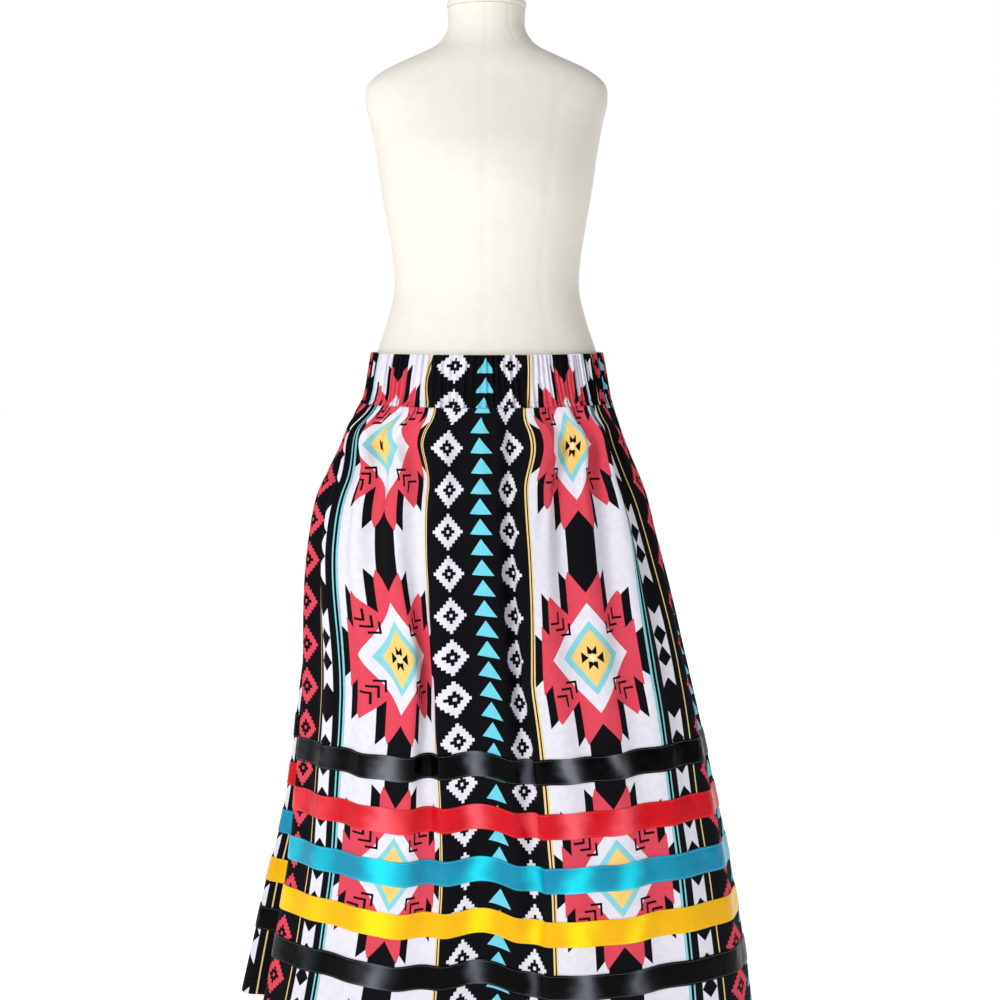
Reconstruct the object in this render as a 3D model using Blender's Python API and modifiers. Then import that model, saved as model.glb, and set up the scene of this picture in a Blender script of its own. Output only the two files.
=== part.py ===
"""Ribbon skirt on a limbless dress form: gathered panels, waist casing, five satin ribbons, form and stand.

The frame is in metres, +Z up, with the origin on the floor under the pole and the front facing -Y.
Cloth is measured along itself from the centre front, positive towards +X, and heights from the floor.
"""

import math

import bmesh
import bpy
import numpy as np

# Cut of the skirt
HEM_LENGTH = 2.150
FRONT_SEAM_RIGHT = 0.5375
FRONT_SEAM_LEFT = -0.5375
CLOTH_WALL = 0.0015
CASING_WALL = 0.0030
RIBBON_WALL = 0.0010
SEAM_GAP = 0.0003

# Heights
HEM_Z = 0.022
CASING_BOTTOM_Z = 0.998
CASING_TOP_Z = 1.075
CASING_PUFF = 0.0020
PANEL_UPPER_ROWS = (0.570, 0.650, 0.730, 0.805, 0.870, 0.920, 0.960)

# Ribbons, from the waist down
RIBBON_WIDTH = 0.038
RIBBON_PITCH = 0.080
FIRST_RIBBON_Z = 0.469
RIBBONS = (
    ("ribbon_1_black", (0.012, 0.011, 0.012)),
    ("ribbon_2_red", (0.640, 0.020, 0.035)),
    ("ribbon_3_turquoise", (0.010, 0.330, 0.520)),
    ("ribbon_4_yellow", (0.900, 0.520, 0.010)),
    ("ribbon_5_black", (0.012, 0.011, 0.012)),
)

# Outline of the hanging cloth: front and back depths are from middle_y, and skew moves the left side back
# z, half_width, shift_x, middle_y, front_depth, back_depth, skew
OUTLINE = np.array(
    (
        (1.075, 0.1808, 0.000, 0.000, 0.1328, 0.1338, 0.00),
        (0.998, 0.1973, -0.001, 0.000, 0.1458, 0.1555, 0.00),
        (0.975, 0.2090, -0.004, 0.000, 0.1535, 0.1690, 0.00),
        (0.930, 0.2290, -0.006, 0.000, 0.1630, 0.1880, 0.00),
        (0.860, 0.2600, -0.009, -0.002, 0.1720, 0.2130, -0.02),
        (0.790, 0.2760, -0.007, -0.004, 0.1770, 0.2280, -0.03),
        (0.690, 0.2960, -0.001, -0.007, 0.1820, 0.2440, -0.05),
        (0.600, 0.3110, 0.005, -0.010, 0.1860, 0.2560, -0.07),
        (0.500, 0.3280, 0.011, -0.012, 0.1920, 0.2670, -0.09),
        (0.400, 0.3450, 0.016, -0.014, 0.1980, 0.2760, -0.11),
        (0.300, 0.3640, 0.018, -0.015, 0.2040, 0.2840, -0.13),
        (0.200, 0.3850, 0.014, -0.015, 0.2100, 0.2910, -0.14),
        (0.130, 0.3980, 0.012, -0.015, 0.2140, 0.2960, -0.14),
        (0.070, 0.4090, 0.009, -0.015, 0.2180, 0.3000, -0.14),
        (0.022, 0.4180, 0.007, -0.015, 0.2210, 0.3030, -0.14),
    )
)

# Folds of the cloth: each is a trough that follows the grain, as deep as its row says at three heights
# cloth, half_width, waist_depth, middle_depth, hem_depth
FOLD_HEIGHTS = (0.930, 0.600, 0.022)
FRONT_GATHERS = (
    (-0.510, 0.042, 0.026, 0.018, 0.004),
    (-0.430, 0.042, 0.024, 0.020, 0.008),
    (-0.350, 0.040, 0.023, 0.010, 0.000),
    (-0.275, 0.040, 0.021, 0.010, 0.002),
    (-0.200, 0.040, 0.021, 0.008, 0.000),
    (-0.118, 0.040, 0.018, 0.028, 0.008),
    (-0.035, 0.038, 0.016, 0.005, 0.000),
    (0.055, 0.036, 0.021, 0.026, 0.004),
    (0.165, 0.041, 0.024, 0.010, 0.002),
    (0.250, 0.042, 0.022, 0.010, 0.002),
    (0.335, 0.042, 0.023, 0.010, 0.000),
    (0.420, 0.042, 0.024, 0.014, 0.000),
    (0.500, 0.038, 0.026, 0.020, 0.006),
)
BACK_GATHERS = (
    (0.580, 0.040, 0.027, 0.021, 0.005),
    (0.660, 0.041, 0.029, 0.024, 0.005),
    (0.745, 0.042, 0.030, 0.025, 0.008),
    (0.826, 0.041, 0.028, 0.026, 0.005),
    (0.910, 0.042, 0.030, 0.023, 0.004),
    (0.990, 0.041, 0.029, 0.026, 0.008),
    (1.076, 0.042, 0.028, 0.024, 0.004),
    (1.155, 0.041, 0.030, 0.027, 0.007),
    (1.240, 0.042, 0.029, 0.024, 0.005),
    (1.322, 0.041, 0.029, 0.025, 0.008),
    (1.405, 0.042, 0.028, 0.023, 0.005),
    (1.488, 0.041, 0.028, 0.022, 0.005),
    (1.568, 0.040, 0.026, 0.018, 0.005),
)
BROAD_FOLDS = (
    (-0.005, 0.130, 0.000, 0.008, 0.042),
    (0.255, 0.085, 0.000, 0.002, 0.008),
    (-0.250, 0.090, 0.000, 0.002, 0.008),
    (-0.465, 0.090, 0.000, 0.018, 0.060),
    (0.530, 0.095, 0.000, 0.008, 0.032),
    (0.745, 0.100, 0.000, 0.010, 0.040),
    (0.955, 0.100, 0.000, 0.010, 0.044),
    (1.165, 0.105, 0.000, 0.012, 0.046),
    (1.370, 0.095, 0.000, 0.010, 0.034),
)
STEPS_PER_GATHER = 4

# A fold's flank never takes less than this share of the cloth's own step along the outline
STEEPEST_STEP = 0.12

# Fine gathers of the casing
CASING_GATHERS = 44
CASING_GATHER_DEPTH = 0.0062
CASING_ROWS = (0.0, 0.22, 0.78, 1.0)

# Just under the casing the gathers start as shallow as the form beneath allows
STITCH_GATHER_SHARE = 0.34
GATHERS_OPEN_Z = 0.935

# Dress form, the sizes of a large general figure
# z, half_width, front_depth, back_depth
FORM = np.array(
    (
        (0.806, 0.160, 0.112, 0.118),
        (0.812, 0.170, 0.120, 0.127),
        (0.840, 0.182, 0.130, 0.143),
        (0.920, 0.189, 0.136, 0.150),
        (0.998, 0.184, 0.133, 0.142),
        (1.075, 0.169, 0.121, 0.122),
        (1.120, 0.154, 0.113, 0.108),
        (1.170, 0.142, 0.108, 0.100),
        (1.220, 0.144, 0.114, 0.101),
        (1.270, 0.152, 0.128, 0.105),
        (1.325, 0.161, 0.146, 0.110),
        (1.375, 0.168, 0.140, 0.113),
        (1.420, 0.176, 0.120, 0.111),
        (1.455, 0.183, 0.103, 0.104),
        (1.480, 0.178, 0.091, 0.095),
        (1.500, 0.152, 0.083, 0.086),
        (1.518, 0.112, 0.074, 0.077),
        (1.534, 0.078, 0.065, 0.067),
        (1.552, 0.062, 0.059, 0.060),
        (1.590, 0.058, 0.056, 0.056),
    )
)
FORM_SEGMENTS = 32

# Board, neck cap and stand
BOARD_THICK = 0.012
BOARD_INSET = 0.006
CAP_RADIUS = 0.060
CAP_HIGH = 0.012
KNOB_RADIUS = 0.016
KNOB_HIGH = 0.034
POLE_RADIUS = 0.0125
COLLAR_RADIUS = 0.024
COLLAR_HIGH = 0.036
BASE_RADIUS = 0.175
BASE_RIM_HIGH = 0.010
BASE_HUB_RADIUS = 0.034
BASE_HUB_HIGH = 0.040
ROUND_SEGMENTS = 32

# Sampling of the outline and the cloth, and the halvings that close the cloth round the outline
FINE_ANGLES = np.linspace(-math.pi, math.pi, 1441)
FINE_CLOTH_STEP = 0.001
CLOSING_HALVINGS = 40
WIDEST_STEP = 4.0

# Finishes: linear colour, roughness, metallic value
FINISHES = {
    "printed_cotton": ((0.060, 0.050, 0.060), 0.80, 0.0),
    "form_cotton": ((0.780, 0.720, 0.610), 0.90, 0.0),
    "turned_wood": ((0.170, 0.080, 0.035), 0.45, 0.0),
    "black_steel": ((0.020, 0.020, 0.020), 0.40, 1.0),
}
SATIN_ROUGHNESS = 0.30


def clear_scene():
    for scene_object in list(bpy.data.objects):
        bpy.data.objects.remove(scene_object, do_unlink=True)


def new_collection(name):
    collection = bpy.data.collections.new(name)
    bpy.context.scene.collection.children.link(collection)
    return collection


def material(name, colour, roughness, metallic):
    made = bpy.data.materials.new(name)
    made.use_nodes = True
    shader = made.node_tree.nodes["Principled BSDF"]
    shader.inputs["Base Color"].default_value = (*colour, 1.0)
    shader.inputs["Roughness"].default_value = roughness
    shader.inputs["Metallic"].default_value = metallic
    made.diffuse_color = (*colour, 1.0)
    return made


def smooth_rows(table, z):
    """Each column of a table at height z: a cubic through the rows, whose slopes are central differences."""
    rows = table[::-1] if table[0, 0] > table[-1, 0] else table
    heights = rows[:, 0]
    slopes = np.gradient(rows[:, 1:], heights, axis=0)
    i = int(np.clip(np.searchsorted(heights, z) - 1, 0, len(heights) - 2))
    span = heights[i + 1] - heights[i]
    t = np.clip((z - heights[i]) / span, 0.0, 1.0)
    start = (2 * t**3 - 3 * t**2 + 1) * rows[i, 1:] + (t**3 - 2 * t**2 + t) * span * slopes[i]
    end = (3 * t**2 - 2 * t**3) * rows[i + 1, 1:] + (t**3 - t**2) * span * slopes[i + 1]
    return start + end


def smooth_step(low, high, value):
    t = np.clip((value - low) / (high - low), 0.0, 1.0)
    return t * t * (3.0 - 2.0 * t)


def unit(vectors):
    return vectors / np.linalg.norm(vectors, axis=-1, keepdims=True)


def outline_ring(z, angles):
    """Points and outward directions of the outline at height z: two half ellipses that share a half width.

    x = shift + w sin(a), y = middle - d cos(a) + skew w sin(a), and outward is the tangent turned
    by a right angle.
    """
    half_width, shift_x, middle_y, front_depth, back_depth, skew = smooth_rows(OUTLINE, z)
    depth = np.where(np.cos(angles) > 0.0, front_depth, back_depth)
    across = half_width * np.sin(angles)
    points = np.stack((shift_x + across, middle_y - depth * np.cos(angles) + skew * across), axis=-1)
    step_x = half_width * np.cos(angles)
    step_y = depth * np.sin(angles) + skew * step_x
    return points, unit(np.stack((step_y, -step_x), axis=-1))


def wrapped(distance):
    return (distance + HEM_LENGTH / 2) % HEM_LENGTH - HEM_LENGTH / 2


def trough(cloth, centre, half_width):
    """One at the fold's centre, falling as a squared cosine to zero at its half width."""
    reach = np.clip(np.abs(wrapped(cloth - centre)) / half_width, 0.0, 1.0)
    return np.cos(0.5 * math.pi * reach) ** 2


def fold_depth(cloth, z):
    """How far the cloth lies inside its outline: the sum of the troughs at this height."""
    total = np.zeros_like(cloth)
    closing = smooth_step(GATHERS_OPEN_Z, CASING_BOTTOM_Z, z)
    opening = STITCH_GATHER_SHARE + (1 - STITCH_GATHER_SHARE) * (1 - closing)
    for centre, half_width, waist, middle, hem in FRONT_GATHERS + BACK_GATHERS + BROAD_FOLDS:
        depth = np.interp(z, FOLD_HEIGHTS[::-1], (hem, middle, waist))
        total += depth * opening * trough(cloth, centre, half_width)
    return total


def casing_depth(cloth, z):
    """The elastic's fine gathers, a little uneven, as depth inside the outline."""
    turn = 2 * math.pi * cloth / HEM_LENGTH
    phase = CASING_GATHERS * turn + 0.5 * np.sin(5 * turn) + 0.4 * np.sin(9 * turn + 1.0)
    uneven = 0.88 + 0.12 * np.sin(7 * turn + 2.0)
    puff = CASING_PUFF * (1 - math.sin(math.pi * (z - CASING_BOTTOM_Z) / (CASING_TOP_Z - CASING_BOTTOM_Z)))
    return puff + CASING_GATHER_DEPTH * uneven * 0.5 * (1 - np.cos(phase))


def cloth_ring(z, columns, depth_of):
    """Points of the cloth at height z, for columns given as distances along the cloth.

    The cloth keeps its length: a step along it covers sqrt(k^2 - slope^2) of the outline, where slope is
    that of the folds and k is found so that the whole length closes round the outline.
    """
    ring, _ = outline_ring(z, FINE_ANGLES)
    walked = np.concatenate(([0.0], np.cumsum(np.linalg.norm(np.diff(ring, axis=0), axis=1))))
    walked -= np.interp(0.0, FINE_ANGLES, walked)
    around = walked[-1] - walked[0]

    half = HEM_LENGTH / 2
    cloth = np.arange(-half, half + FINE_CLOTH_STEP / 2, FINE_CLOTH_STEP)
    slope = np.gradient(depth_of(cloth, z), cloth)
    low, high = 0.0, WIDEST_STEP
    for _ in range(CLOSING_HALVINGS):
        k = 0.5 * (low + high)
        step = np.sqrt(np.maximum(k**2 - slope**2, (STEEPEST_STEP * k) ** 2))
        along = np.concatenate(([0.0], np.cumsum(0.5 * (step[1:] + step[:-1]) * np.diff(cloth))))
        low, high = (k, high) if along[-1] < around else (low, k)
    along -= np.interp(0.0, cloth, along)

    columns = wrapped(columns)
    place = np.interp(columns, cloth, along)
    place = (place - walked[0]) % around + walked[0]
    points, outward = outline_ring(z, np.interp(place, walked, FINE_ANGLES))
    flat = points - depth_of(columns, z)[:, None] * outward
    return np.column_stack((flat, np.full(len(columns), z)))


def grid_normals(grid):
    """Outward unit normals of a grid whose rows run down and whose columns run round towards +X and the back.

    Those of the first and last row are level, so that a cut edge stays at its height.
    """
    wide = np.concatenate((grid[:, -1:], grid, grid[:, :1]), axis=1)
    around = wide[:, 2:] - wide[:, :-2]
    up = -np.gradient(grid, axis=0)
    normals = np.cross(around, up)
    normals[[0, -1], :, 2] = 0.0
    return unit(normals)


def mesh_object(name, points, faces, finish, collection):
    mesh = bpy.data.meshes.new(name)
    mesh.from_pydata([tuple(point) for point in points], [], [tuple(int(i) for i in face) for face in faces])
    mesh.validate()
    mesh.shade_smooth()
    mesh.materials.append(finish)
    made = bpy.data.objects.new(name, mesh)
    collection.objects.link(made)
    return made


def strip_faces(index, flip):
    """Two triangles for each cell of a grid of vertex indices, always on the same diagonal."""
    a, b = index[:-1, :-1].ravel(), index[:-1, 1:].ravel()
    c, d = index[1:, 1:].ravel(), index[1:, :-1].ravel()
    faces = np.concatenate((np.column_stack((a, c, b)), np.column_stack((a, d, c))))
    return faces[:, ::-1] if flip else faces


def wall(name, outer, inner, finish, collection, closed=False):
    """Cloth with both faces and its edges; rows run down and columns run round, right round where closed."""
    rows, columns = outer.shape[:2]
    index = np.arange(rows * columns).reshape(rows, columns)
    if closed:
        index = np.concatenate((index, index[:, :1]), axis=1)
    back = index + rows * columns
    faces = [
        strip_faces(index, False),
        strip_faces(back, True),
        strip_faces(np.stack((index[0], back[0])), True),
        strip_faces(np.stack((index[-1], back[-1])), False),
    ]
    if not closed:
        faces.append(strip_faces(np.column_stack((index[:, 0], back[:, 0])), True))
        faces.append(strip_faces(np.column_stack((index[:, -1], back[:, -1])), False))
    points = np.concatenate((outer.reshape(-1, 3), inner.reshape(-1, 3)))
    return mesh_object(name, points, np.concatenate(faces), finish, collection)


def panel_columns(start, end, gathers):
    """Column places across one panel: four steps from gather centre to gather centre, two at a side seam."""
    centres = [row[0] for row in gathers]
    places = list(np.linspace(start, centres[0], STEPS_PER_GATHER // 2, endpoint=False))
    for left, right in zip(centres[:-1], centres[1:]):
        places.extend(np.linspace(left, right, STEPS_PER_GATHER, endpoint=False))
    places.extend(np.linspace(centres[-1], end, STEPS_PER_GATHER // 2, endpoint=False))
    return np.array(places)


def parted(grid, along):
    """A panel's columns with its first and last moved in along the cloth by half the gap of a side seam."""
    moved = grid.copy()
    moved[:, 0] += along[:, 0] * SEAM_GAP / 2
    moved[:, -1] -= along[:, -1] * SEAM_GAP / 2
    return moved


def ribbon_edges(number):
    centre = FIRST_RIBBON_Z - number * RIBBON_PITCH
    return centre + RIBBON_WIDTH / 2, centre - RIBBON_WIDTH / 2


def panel_rows():
    rows = [CASING_BOTTOM_Z - SEAM_GAP / 2, HEM_Z, *PANEL_UPPER_ROWS]
    for number in range(len(RIBBONS)):
        rows.extend(ribbon_edges(number))
    return np.array(sorted(rows, reverse=True))


def build_skirt(collection):
    cotton = material("printed_cotton", *FINISHES["printed_cotton"])
    front = panel_columns(FRONT_SEAM_LEFT, FRONT_SEAM_RIGHT, FRONT_GATHERS)
    back = panel_columns(FRONT_SEAM_RIGHT, FRONT_SEAM_LEFT + HEM_LENGTH, BACK_GATHERS)
    columns = np.concatenate((front, back))
    rows = panel_rows()
    outer = np.stack([cloth_ring(z, columns, fold_depth) for z in rows])
    normals = grid_normals(outer)
    along = unit(np.cross((0.0, 0.0, 1.0), normals))
    sides = {
        "front": np.arange(len(front) + 1),
        "back": np.arange(len(front), len(columns) + 1) % len(columns),
    }

    def sewn(name, band, inside, outside, finish):
        """One wall for each panel side, between two distances out from the cloth's own points."""
        for side, span in sides.items():
            walls = [
                parted((outer[band] + distance * normals[band])[:, span], along[band][:, span])
                for distance in (outside, inside)
            ]
            wall(name.format(side), *walls, finish, collection)

    sewn("skirt_{}_panel", slice(0, len(rows)), -CLOTH_WALL, 0.0, cotton)
    for number, (name, colour) in enumerate(RIBBONS):
        satin = material(f"satin_{name}", colour, SATIN_ROUGHNESS, 0.0)
        top = int(np.argmin(np.abs(rows - ribbon_edges(number)[0])))
        sewn(name + "_{}", slice(top, top + 2), SEAM_GAP, SEAM_GAP + RIBBON_WALL, satin)

    bottom = CASING_BOTTOM_Z + SEAM_GAP / 2
    count = CASING_GATHERS * STEPS_PER_GATHER
    casing_columns = np.arange(count) * HEM_LENGTH / count
    casing_rows = [bottom + share * (CASING_TOP_Z - bottom) for share in reversed(CASING_ROWS)]
    casing = np.stack([cloth_ring(z, casing_columns, casing_depth) for z in casing_rows])
    level = unit(grid_normals(casing) * (1.0, 1.0, 0.0))
    wall("waist_casing", casing, casing - CASING_WALL * level, cotton, collection, closed=True)


def form_ring(z, segments=FORM_SEGMENTS):
    half_width, front_depth, back_depth = smooth_rows(FORM, z)
    angles = np.arange(segments) * 2 * math.pi / segments
    depth = np.where(np.cos(angles) > 0.0, front_depth, back_depth)
    x = half_width * np.sin(angles)
    y = -depth * np.cos(angles)
    return np.column_stack((x, y, np.full(segments, z)))


def build_form(collection):
    cover = material("form_cotton", *FINISHES["form_cotton"])
    wood = material("turned_wood", *FINISHES["turned_wood"])
    rings = np.stack([form_ring(z) for z in FORM[::-1, 0]])
    rows, columns = rings.shape[:2]
    index = np.arange(rows * columns).reshape(rows, columns)
    closed = np.concatenate((index, index[:, :1]), axis=1)
    faces = strip_faces(closed, False).tolist()
    faces.append(index[0].tolist())
    faces.append(index[-1, ::-1].tolist())
    mesh_object("form_torso", rings.reshape(-1, 3), faces, cover, collection)

    bottom_z, half_width, front_depth, back_depth = FORM[0]
    bpy.ops.mesh.primitive_cylinder_add(vertices=FORM_SEGMENTS, radius=1.0, depth=BOARD_THICK)
    board = bpy.context.object
    board.name = "form_underside_board"
    middle = (back_depth - front_depth) / 2
    board.location = (0.0, middle, bottom_z - SEAM_GAP - BOARD_THICK / 2)
    board.scale = (half_width - BOARD_INSET, (front_depth + back_depth) / 2 - BOARD_INSET, 1.0)
    adopt(board, wood, collection)

    top_z = FORM[-1, 0] + SEAM_GAP
    profile = (
        (0.0, top_z + KNOB_HIGH),
        (KNOB_RADIUS * 0.7, top_z + KNOB_HIGH * 0.93),
        (KNOB_RADIUS, top_z + KNOB_HIGH * 0.72),
        (KNOB_RADIUS * 0.5, top_z + CAP_HIGH),
        (CAP_RADIUS * 0.95, top_z + CAP_HIGH),
        (CAP_RADIUS, top_z + CAP_HIGH * 0.6),
        (CAP_RADIUS, top_z),
        (0.0, top_z),
    )
    turned("form_neck_cap", profile, wood, collection)


def adopt(made, finish, collection):
    made.data.materials.clear()
    made.data.materials.append(finish)
    for old in list(made.users_collection):
        old.objects.unlink(made)
    collection.objects.link(made)


def turned(name, profile, finish, collection):
    """A solid turned about the pole's axis, from a profile of (radius, height) that runs down its outside."""
    mesh = bpy.data.meshes.new(name)
    edges = [(i, i + 1) for i in range(len(profile) - 1)]
    mesh.from_pydata([(radius, 0.0, z) for radius, z in profile], edges, [])
    mesh.materials.append(finish)
    made = bpy.data.objects.new(name, mesh)
    collection.objects.link(made)
    screw = made.modifiers.new("Screw", "SCREW")
    screw.axis = "Z"
    screw.steps = ROUND_SEGMENTS
    screw.render_steps = ROUND_SEGMENTS
    screw.use_merge_vertices = True
    screw.merge_threshold = 0.0001
    screw.use_smooth_shade = True
    return made


def build_stand(collection):
    steel = material("black_steel", *FINISHES["black_steel"])
    base_top = BASE_HUB_HIGH
    profile = (
        (0.0, base_top),
        (BASE_HUB_RADIUS * 0.8, base_top),
        (BASE_HUB_RADIUS, base_top - 0.006),
        (BASE_HUB_RADIUS * 1.25, BASE_RIM_HIGH * 1.8),
        (BASE_RADIUS * 0.96, BASE_RIM_HIGH),
        (BASE_RADIUS, BASE_RIM_HIGH * 0.6),
        (BASE_RADIUS, 0.0),
        (0.0, 0.0),
    )
    turned("stand_base", profile, steel, collection)

    board_z = FORM[0, 0] - SEAM_GAP - BOARD_THICK
    pole_top = board_z - SEAM_GAP
    pole_bottom = base_top + SEAM_GAP
    pole_long = pole_top - pole_bottom
    bpy.ops.mesh.primitive_cylinder_add(vertices=ROUND_SEGMENTS, radius=POLE_RADIUS, depth=pole_long)
    pole = bpy.context.object
    pole.name = "stand_pole"
    pole.location = (0.0, 0.0, (pole_top + pole_bottom) / 2)
    adopt(pole, steel, collection)

    collar_top = board_z - SEAM_GAP
    clear = POLE_RADIUS + SEAM_GAP
    ring = (
        (clear, collar_top),
        (COLLAR_RADIUS * 1.6, collar_top),
        (COLLAR_RADIUS * 1.6, collar_top - COLLAR_HIGH * 0.2),
        (COLLAR_RADIUS, collar_top - COLLAR_HIGH * 0.3),
        (COLLAR_RADIUS, collar_top - COLLAR_HIGH),
        (clear, collar_top - COLLAR_HIGH),
        (clear, collar_top),
    )
    turned("stand_collar", ring, steel, collection)


def build():
    clear_scene()
    collection = new_collection("ribbon_skirt")
    build_skirt(collection)
    build_form(collection)
    build_stand(collection)


build()
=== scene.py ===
import math

import bpy
import numpy as np
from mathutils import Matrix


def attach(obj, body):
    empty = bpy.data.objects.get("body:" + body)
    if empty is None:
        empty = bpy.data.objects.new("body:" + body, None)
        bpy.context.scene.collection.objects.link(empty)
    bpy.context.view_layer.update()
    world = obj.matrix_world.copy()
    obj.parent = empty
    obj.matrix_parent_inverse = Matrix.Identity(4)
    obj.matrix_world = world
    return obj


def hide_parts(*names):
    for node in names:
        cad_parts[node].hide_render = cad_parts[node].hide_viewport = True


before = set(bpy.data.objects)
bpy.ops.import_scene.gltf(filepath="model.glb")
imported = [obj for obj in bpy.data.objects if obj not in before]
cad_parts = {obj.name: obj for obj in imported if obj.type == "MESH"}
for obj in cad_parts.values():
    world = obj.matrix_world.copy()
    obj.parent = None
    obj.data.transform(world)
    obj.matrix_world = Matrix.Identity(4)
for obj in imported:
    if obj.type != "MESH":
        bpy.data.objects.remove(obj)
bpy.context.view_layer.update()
bpy.context.scene.view_settings.view_transform = "Standard"

# camera: straight on to the front, a little above the hips
view = {
    "place": (0.0202, -2.40, 1.15), "pitchDown": 7.25, "sensor": 36.0,
    "focalPixels": 1545.0, "framePixels": 1000.0,
}
cameraData = bpy.data.cameras.new("camera")
cameraData.sensor_width = view["sensor"]
cameraData.lens = view["focalPixels"] / view["framePixels"] * view["sensor"]
cameraData.clip_end = 60.0
camera = bpy.data.objects.new("camera", cameraData)
camera.location = view["place"]
camera.rotation_euler = (math.radians(90.0 - view["pitchDown"]), 0.0, 0.0)
bpy.context.scene.collection.objects.link(camera)
bpy.context.scene.camera = camera


# small tools
def smoothStep(low, high, value):  # 0 below low, 1 above high, 3t^2 - 2t^3 between
    t = np.clip((value - low) / (high - low), 0.0, 1.0)
    return t * t * (3.0 - 2.0 * t)


def unit(vectors):
    return vectors / np.linalg.norm(vectors, axis=-1, keepdims=True)


def rowsAt(table, z):
    # every column of a table at height z: a cubic between two rows, with the slopes of central differences
    rows = np.array(table)
    rows = rows[::-1] if rows[0, 0] > rows[-1, 0] else rows
    heights = rows[:, 0]
    slopes = np.gradient(rows[:, 1:], heights, axis=0)
    i = int(np.clip(np.searchsorted(heights, z) - 1, 0, len(heights) - 2))
    span = heights[i + 1] - heights[i]
    t = np.clip((z - heights[i]) / span, 0.0, 1.0)
    start = (2 * t**3 - 3 * t**2 + 1) * rows[i, 1:] + (t**3 - 2 * t**2 + t) * span * slopes[i]
    end = (3 * t**2 - 2 * t**3) * rows[i + 1, 1:] + (t**3 - t**2) * span * slopes[i + 1]
    return start + end


def linkPiece(name, mesh, finishes, slot, *standsFor):  # a finished piece on the body, in place of its solids
    for finish in finishes:
        mesh.materials.append(finish)
    piece = bpy.data.objects.new(name, mesh)
    bpy.context.scene.collection.objects.link(piece)
    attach(piece, "root")
    if standsFor:
        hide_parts(*standsFor)
    return piece


def quadsOf(index, turned):  # the cells of a grid of vertex numbers, rows down and columns towards +X
    a, b, c, d = index[:-1, :-1], index[:-1, 1:], index[1:, 1:], index[1:, :-1]
    order = (a, b, c, d) if turned else (a, d, c, b)
    return np.stack([corner.ravel() for corner in order], axis=1)


def clothWall(name, outer, inner, across, along, closed=False):
    # outer and inner are grids of points, joined at their rims; the map "clothMetres" holds (across, along)
    rows, columns = outer.shape[:2]
    index = np.arange(rows * columns).reshape(rows, columns)
    if closed:
        index = np.concatenate((index, index[:, :1]), axis=1)
    other = index + rows * columns
    mapU = np.zeros((rows, 1)) + across
    mapV = np.zeros_like(mapU) + np.asarray(along)[:, None]
    sides = [
        (index, mapU, mapV, False, 0),
        (other, mapU, mapV, True, 1),
        (np.stack((index[0], other[0])), mapU[[0, 0]], mapV[[0, 0]], True, 0),
        (np.stack((index[-1], other[-1])), mapU[[-1, -1]], mapV[[-1, -1]], False, 0),
    ]
    if not closed:
        for column, turned in ((0, True), (-1, False)):
            rim = np.stack((index[:, column], other[:, column]), axis=1)
            sides.append((rim, mapU[:, [column, column]], mapV[:, [column, column]], turned, 0))
    quads = np.concatenate([quadsOf(grid, turned) for grid, _, _, turned, _ in sides])
    mapped = []
    for grid, u, v, turned, _ in sides:
        cells = quadsOf(np.arange(grid.size).reshape(grid.shape), turned)
        mapped.append(np.stack((u.ravel()[cells], v.ravel()[cells]), axis=-1))
    cellCounts = [(grid.shape[0] - 1) * (grid.shape[1] - 1) for grid, *_ in sides]
    finishIndex = np.repeat([number for *_, number in sides], cellCounts)
    points = np.concatenate((outer.reshape(-1, 3), inner.reshape(-1, 3)))
    mesh = bpy.data.meshes.new(name)
    mesh.from_pydata(points.tolist(), [], quads.tolist())
    cloth = mesh.uv_layers.new(name="clothMetres")
    cloth.data.foreach_set("uv", np.concatenate(mapped).astype(np.float32).ravel())
    mesh.polygons.foreach_set("material_index", finishIndex.astype(np.int32))
    mesh.shade_smooth()
    mesh.set_sharp_from_angle(angle=math.radians(60.0))
    return mesh


# nodes: fields and groups
def mathsBy(operation):  # an operator of a field, with a field or a number after it, as one Math node
    return lambda self, other: self.maths(operation, other)


class Field:  # a number that changes over a surface
    def __init__(self, tree, socket):
        self.tree = tree
        self.socket = socket

    def maths(self, operation, *others):
        node = self.tree.nodes.new("ShaderNodeMath")
        node.operation = operation
        for socket, value in zip(node.inputs, (self, *others)):
            feed(self.tree, socket, value)
        return Field(self.tree, node.outputs[0])

    __add__ = mathsBy("ADD")
    __sub__ = mathsBy("SUBTRACT")
    __mul__ = mathsBy("MULTIPLY")
    __truediv__ = mathsBy("DIVIDE")
    __lt__ = mathsBy("LESS_THAN")
    __gt__ = mathsBy("GREATER_THAN")
    __and__ = mathsBy("MULTIPLY")
    __or__ = mathsBy("MAXIMUM")
    least = mathsBy("MINIMUM")
    most = mathsBy("MAXIMUM")

    def __abs__(self):
        return self.maths("ABSOLUTE")

    def whole(self):
        return self.maths("ROUND")

    def every(self, length):  # distance from the nearest multiple of a length
        return self.maths("WRAP", length / 2, -length / 2)


def feed(tree, socket, value):  # a field or a socket is linked, a number or a colour is set
    if isinstance(value, Field):
        value = value.socket
    if isinstance(value, bpy.types.NodeSocket):
        tree.links.new(value, socket)
    elif socket.type == "RGBA":
        socket.default_value = (*value, 1.0)
    else:
        socket.default_value = value


def feedAll(tree, node, values):
    for label, value in values.items():
        feed(tree, node.inputs[label], value)
    return node


def newNode(tree, kind, **values):
    return feedAll(tree, tree.nodes.new(kind), values)


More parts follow.
